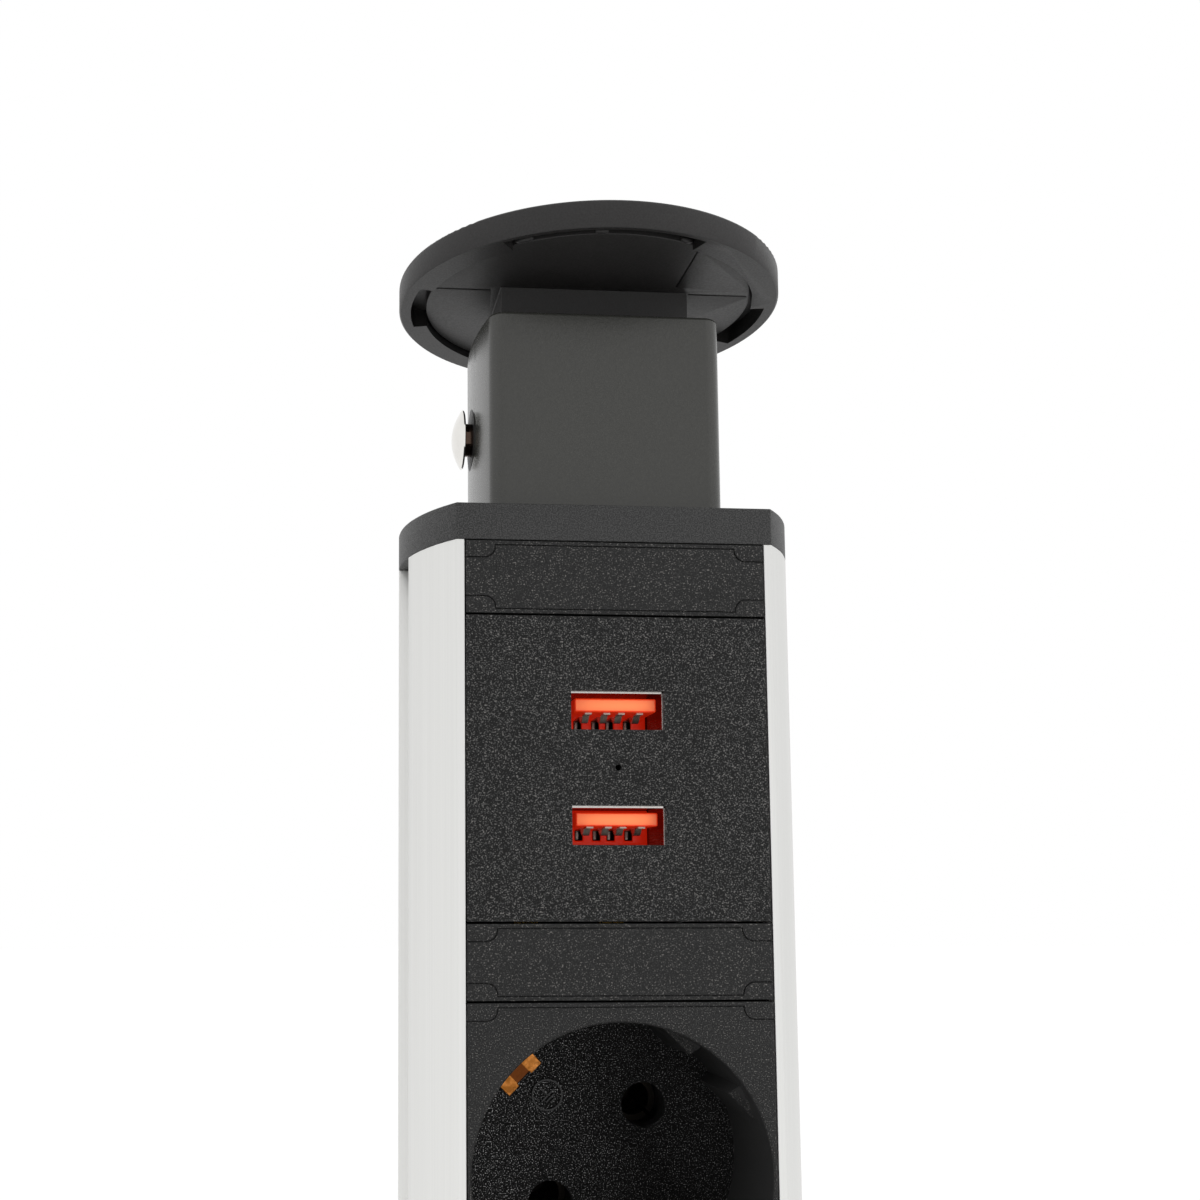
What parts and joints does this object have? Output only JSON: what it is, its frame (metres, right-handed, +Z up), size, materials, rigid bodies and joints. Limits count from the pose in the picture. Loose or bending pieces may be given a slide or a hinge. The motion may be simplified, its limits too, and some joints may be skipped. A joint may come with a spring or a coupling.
{
  "type": "pull-up desk socket tower",
  "caption": "Pull-up desk power tower with recessed earthed sockets, USB charging ports, a round lid on a neck with a side release button, and a flanged desk collar.",
  "frame": {"origin": "on the tower's axis at the underside of the collar's flange, level with the desk top", "axes": "+Z up along the tower's travel, -Y out of the flat front with the sockets, +X to the right seen from the front"},
  "size_m": [0.08, 0.08, 0.3315],
  "materials": {
    "silver_profile": "satin anodised",
    "black_body": "fine texture",
    "dark_cover": "smooth matt",
    "collar_grey": "fine texture",
    "button_chrome": "polished",
    "bright_steel": "plated",
    "spring_steel": "drawn wire",
    "earth_copper": "bare strip",
    "contact_brass": "bare",
    "orange_insulator": "moulded",
    "contact_tin": "tinned",
    "white_insulator": "moulded",
    "board_green": "lacquered",
    "coil_yellow": "taped",
    "can_black": "sleeved",
    "led_green": "clear",
    "seal_felt": "felt",
    "washer_rubber": "matt"
  },
  "bodies": {
    "collar": {"desk_collar": "collar_grey", "wiper_ring": "seal_felt", "ring_nut": "collar_grey", "nut_washer": "washer_rubber"},
    "tower": {"column_profile": "silver_profile", "top_trim": "black_body", "trim_screws": "bright_steel", "neck_sleeve": "black_body", "neck_screws": "bright_steel", "lid_base": "dark_cover", "lid_cover": "dark_cover", "lid_screws": "bright_steel", "button_bush": "dark_cover", "button_spring": "spring_steel", "spring_cap": "dark_cover", "spacer_upper": "black_body", "spacer_lower": "black_body", "blank_cover": "black_body", "usb_plate": "black_body", "usb_board": "board_green", "usb_rear_cover": "white_insulator", "usb_transformer": "coil_yellow", "usb_capacitors": "can_black", "usb_led": "led_green", "usb_supply_pins": "contact_brass", "carrier_screws": "bright_steel", "bus_liner": "white_insulator", "live_bus": "contact_brass", "neutral_bus": "contact_brass", "earth_bus": "contact_brass", "terminal_block": "white_insulator", "terminal_screws": "bright_steel", "foot_cap": "black_body", "foot_screws": "bright_steel", "cord_gland": "dark_cover", "usb_shell_upper": "bright_steel", "usb_tongue_upper": "orange_insulator", "usb_contacts_upper": "contact_tin", "usb_shell_lower": "bright_steel", "usb_tongue_lower": "orange_insulator", "usb_contacts_lower": "contact_tin", "socket_insert_1": "black_body", "earth_clip_1": "earth_copper", "contact_carrier_1": "dark_cover", "pin_contacts_1": "contact_brass", "socket_insert_2": "black_body", "earth_clip_2": "earth_copper", "contact_carrier_2": "dark_cover", "pin_contacts_2": "contact_brass", "socket_insert_3": "black_body", "earth_clip_3": "earth_copper", "contact_carrier_3": "dark_cover", "pin_contacts_3": "contact_brass"},
    "button": {"release_button": "button_chrome", "button_clip": "spring_steel"}
  },
  "joints": [
    {"name": "tower_slide", "type": "slide", "parent": "collar", "child": "tower", "axis": [0, 0, 1], "range_m": [-0.24335, 0]},
    {"name": "release_button", "type": "slide", "parent": "tower", "child": "button", "axis": [1, 0, 0], "range_m": [0, 0.001], "stiffness_N_per_m": 800, "springref_m": -0.001, "deforming": ["button_spring"]}
  ]
}
